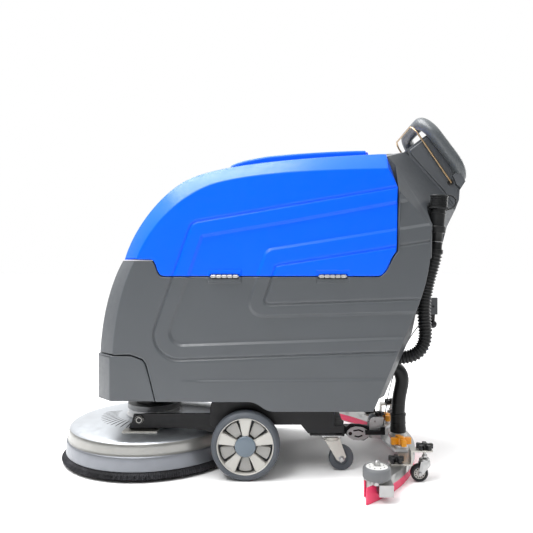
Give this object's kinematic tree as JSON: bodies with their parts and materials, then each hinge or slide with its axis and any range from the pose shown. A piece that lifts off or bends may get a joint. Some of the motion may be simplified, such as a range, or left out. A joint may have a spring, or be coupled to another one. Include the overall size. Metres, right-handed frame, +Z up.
{
  "type": "walk-behind floor scrubber machine",
  "caption": "Walk-behind battery floor scrubber with tip-up recovery tank, round brush deck, curved swinging squeegee, loop handle and large transport wheels.",
  "frame": {"origin": "on the floor under the middle of the machine's length and width", "axes": "+X towards the rear where the operator stands, +Z up, the operator's left side at -Y"},
  "size_m": [1.3, 0.875, 1.0897],
  "materials": {
    "grey_shell": "fine-grained moulded grey",
    "blue_shell": "satin blue",
    "dark_plastic": "matt dark grey",
    "frame_black": "satin black powder coat",
    "spun_aluminium": "bright spun",
    "cast_aluminium": "cast, satin",
    "steel": "zinc plated",
    "grey_metal": "grey paint",
    "handle_plastic": "soft grain grey",
    "tyre_rubber": "matt",
    "rim_plastic": "pale grey",
    "black_rubber": "matt",
    "blade_rubber": "translucent red",
    "orange_plastic": "satin orange",
    "black_plastic": "fine grain",
    "bristle": "nylon filaments",
    "battery_case": "matt",
    "wire_brass": "plated wire",
    "circuit_green": "lacquer",
    "clear_white": "milky",
    "button_green": "gloss",
    "button_blue": "gloss"
  },
  "bodies": {
    "machine": {"chassis": "frame_black", "solution_tank": "grey_shell", "front_cover": "grey_shell", "rear_cover": "dark_plastic", "console_housing": "dark_plastic", "control_panel": "black_plastic", "handle_loop": "handle_plastic", "batteries": "battery_case", "wheel_axle": "steel", "water_valve": "black_plastic", "vacuum_motor": "black_plastic", "control_board": "circuit_green", "charger_socket": "black_plastic", "lower_hinges": "steel", "drain_hose": "black_rubber", "suction_hose": "black_rubber", "lift_cable": "steel", "caster_plates": "steel"},
    "drain_cap": {"drain_cap": "black_rubber"},
    "filler_cap": {"filler_cap": "black_plastic"},
    "recovery": {"recovery_tank": "blue_shell", "upper_hinges": "steel", "float_shutoff": "clear_white", "filter_cover": "blue_shell"},
    "lid": {"tank_lid": "blue_shell"},
    "arms": {"lift_arms": "frame_black"},
    "deck": {"deck_cover": "spun_aluminium", "brush_motor": "grey_metal", "motor_can": "black_plastic", "deck_skirt": "black_rubber", "deck_brackets": "frame_black"},
    "brush": {"brush_disc": "dark_plastic", "brush_bristles": "bristle"},
    "wheel_left": {"wheel_rim_left": "rim_plastic", "wheel_tyre_left": "tyre_rubber"},
    "wheel_right": {"wheel_rim_right": "rim_plastic", "wheel_tyre_right": "tyre_rubber"},
    "caster_left": {"caster_fork_left": "steel"},
    "caster_right": {"caster_fork_right": "steel"},
    "caster_wheel_left": {"caster_wheel_left": "tyre_rubber"},
    "caster_wheel_right": {"caster_wheel_right": "tyre_rubber"},
    "squeegee_arm": {"squeegee_arm": "frame_black"},
    "squeegee": {"squeegee_bracket": "grey_metal", "squeegee_body": "cast_aluminium", "caster_brackets": "cast_aluminium", "squeegee_blades": "blade_rubber", "suction_port": "rim_plastic"},
    "roller_left": {"roller_left": "tyre_rubber"},
    "roller_right": {"roller_right": "tyre_rubber"},
    "small_caster_left": {"small_fork_left": "steel"},
    "small_caster_right": {"small_fork_right": "steel"},
    "small_wheel_left": {"small_wheel_left": "black_rubber"},
    "small_wheel_right": {"small_wheel_right": "black_rubber"},
    "height_knob_left": {"height_knob_left": "black_plastic"},
    "height_knob_right": {"height_knob_right": "black_plastic"},
    "wing_knob_left": {"wing_knob_left": "orange_plastic"},
    "wing_knob_right": {"wing_knob_right": "orange_plastic"},
    "pitch_knob": {"pitch_knob": "black_plastic"},
    "key_switch": {"key_switch": "steel"},
    "brush_button": {"brush_button": "button_green"},
    "vacuum_button": {"vacuum_button": "button_blue"},
    "trigger_bail": {"trigger_bail": "wire_brass"},
    "lift_lever": {"lift_lever": "grey_metal"}
  },
  "joints": [
    {"name": "recovery_tip", "type": "hinge", "parent": "machine", "child": "recovery", "pos_m": [0, -0.2704, 0.589], "axis": [1, 0, 0], "range_deg": [0, 85]},
    {"name": "lid_open", "type": "hinge", "parent": "recovery", "child": "lid", "pos_m": [0.329, 0, 0.9675], "axis": [0, 1, 0], "range_deg": [0, 95]},
    {"name": "filler_cap_turn", "type": "hinge", "parent": "machine", "child": "filler_cap", "pos_m": [0.428, 0, 0.98], "axis": [0, 0, 1], "continuous": true},
    {"name": "drain_cap_pull", "type": "slide", "parent": "machine", "child": "drain_cap", "axis": [0.063, 0, 0.998], "range_m": [0, 0.03]},
    {"name": "deck_lift", "type": "hinge", "parent": "machine", "child": "arms", "pos_m": [-0.1, 0, 0.158], "axis": [0, 1, 0], "range_deg": [0, 4.2]},
    {"name": "deck_level", "type": "hinge", "parent": "arms", "child": "deck", "pos_m": [-0.364, 0, 0.155], "axis": [0, 1, 0], "range_deg": [-4.2, 0]},
    {"name": "brush_spin", "type": "hinge", "parent": "deck", "child": "brush", "pos_m": [-0.361, 0, 0], "axis": [0, 0, 1], "continuous": true},
    {"name": "wheel_spin_left", "type": "hinge", "parent": "machine", "child": "wheel_left", "pos_m": [-0.038, -0.2532, 0.1], "axis": [0, 1, 0], "continuous": true},
    {"name": "caster_swivel_left", "type": "hinge", "parent": "machine", "child": "caster_left", "pos_m": [0.216, -0.173, 0.1], "axis": [0, 0, 1], "continuous": true},
    {"name": "caster_roll_left", "type": "hinge", "parent": "caster_left", "child": "caster_wheel_left", "pos_m": [0.246, -0.173, 0.0375], "axis": [0, 1, 0], "continuous": true},
    {"name": "roller_spin_left", "type": "hinge", "parent": "squeegee", "child": "roller_left", "pos_m": [0.32, -0.4, 0.07], "axis": [0, 0, 1], "continuous": true},
    {"name": "small_swivel_left", "type": "hinge", "parent": "squeegee", "child": "small_caster_left", "pos_m": [0.478, -0.267, 0.07], "axis": [0, 0, 1], "continuous": true},
    {"name": "small_roll_left", "type": "hinge", "parent": "small_caster_left", "child": "small_wheel_left", "pos_m": [0.462, -0.267, 0.025], "axis": [0, 1, 0], "continuous": true},
    {"name": "height_turn_left", "type": "hinge", "parent": "squeegee", "child": "height_knob_left", "pos_m": [0.478, -0.267, 0.1], "axis": [0, 0, 1], "continuous": true},
    {"name": "wing_turn_left", "type": "hinge", "parent": "squeegee", "child": "wing_knob_left", "pos_m": [0.435, -0.14, 0.08], "axis": [0, 0, 1], "continuous": true},
    {"name": "wheel_spin_right", "type": "hinge", "parent": "machine", "child": "wheel_right", "pos_m": [-0.038, 0.2532, 0.1], "axis": [0, 1, 0], "continuous": true},
    {"name": "caster_swivel_right", "type": "hinge", "parent": "machine", "child": "caster_right", "pos_m": [0.216, 0.173, 0.1], "axis": [0, 0, 1], "continuous": true},
    {"name": "caster_roll_right", "type": "hinge", "parent": "caster_right", "child": "caster_wheel_right", "pos_m": [0.246, 0.173, 0.0375], "axis": [0, 1, 0], "continuous": true},
    {"name": "roller_spin_right", "type": "hinge", "parent": "squeegee", "child": "roller_right", "pos_m": [0.32, 0.4, 0.07], "axis": [0, 0, 1], "continuous": true},
    {"name": "small_swivel_right", "type": "hinge", "parent": "squeegee", "child": "small_caster_right", "pos_m": [0.478, 0.267, 0.07], "axis": [0, 0, 1], "continuous": true},
    {"name": "small_roll_right", "type": "hinge", "parent": "small_caster_right", "child": "small_wheel_right", "pos_m": [0.462, 0.267, 0.025], "axis": [0, 1, 0], "continuous": true},
    {"name": "height_turn_right", "type": "hinge", "parent": "squeegee", "child": "height_knob_right", "pos_m": [0.478, 0.267, 0.1], "axis": [0, 0, 1], "continuous": true},
    {"name": "wing_turn_right", "type": "hinge", "parent": "squeegee", "child": "wing_knob_right", "pos_m": [0.435, 0.14, 0.08], "axis": [0, 0, 1], "continuous": true},
    {"name": "lift_lever_pull", "type": "hinge", "parent": "machine", "child": "lift_lever", "pos_m": [0.552, -0.06, 0.488], "axis": [0, -1, 0], "range_deg": [0, 70]},
    {"name": "squeegee_lift", "type": "hinge", "parent": "machine", "child": "squeegee_arm", "pos_m": [0.258, 0, 0.074], "axis": [0, -1, 0], "range_deg": [0, 9], "deforming": ["suction_hose", "lift_cable"]},
    {"name": "squeegee_swing", "type": "hinge", "parent": "squeegee_arm", "child": "squeegee", "pos_m": [0.372, 0, 0.07], "axis": [0, 0, 1], "range_deg": [-12, 12], "deforming": ["suction_hose"]},
    {"name": "pitch_turn", "type": "hinge", "parent": "squeegee", "child": "pitch_knob", "pos_m": [0.391, 0, 0.12], "axis": [0, 0, 1], "continuous": true},
    {"name": "key_turn", "type": "hinge", "parent": "machine", "child": "key_switch", "pos_m": [0.59276, -0.06, 0.9518], "axis": [0.8201, 0, 0.5721], "range_deg": [0, 90]},
    {"name": "brush_press", "type": "slide", "parent": "machine", "child": "brush_button", "axis": [-0.8201, 0, -0.5721], "range_m": [0, 0.003], "stiffness_N_per_m": 300, "springref_m": -0.002},
    {"name": "vacuum_press", "type": "slide", "parent": "machine", "child": "vacuum_button", "axis": [-0.8201, 0, -0.5721], "range_m": [0, 0.003], "stiffness_N_per_m": 300, "springref_m": -0.002},
    {"name": "bail_squeeze", "type": "hinge", "parent": "machine", "child": "trigger_bail", "pos_m": [0.591, 0, 0.879], "axis": [0, 1, 0], "range_deg": [0, 2.9], "stiffness_Nm_per_rad": 2, "springref_deg": -5.73}
  ],
  "couplings": [
    {"joint": "deck_level", "follows": "deck_lift", "ratio": -1},
    {"joint": "squeegee_lift", "follows": "lift_lever_pull", "ratio": 0.12857}
  ]
}
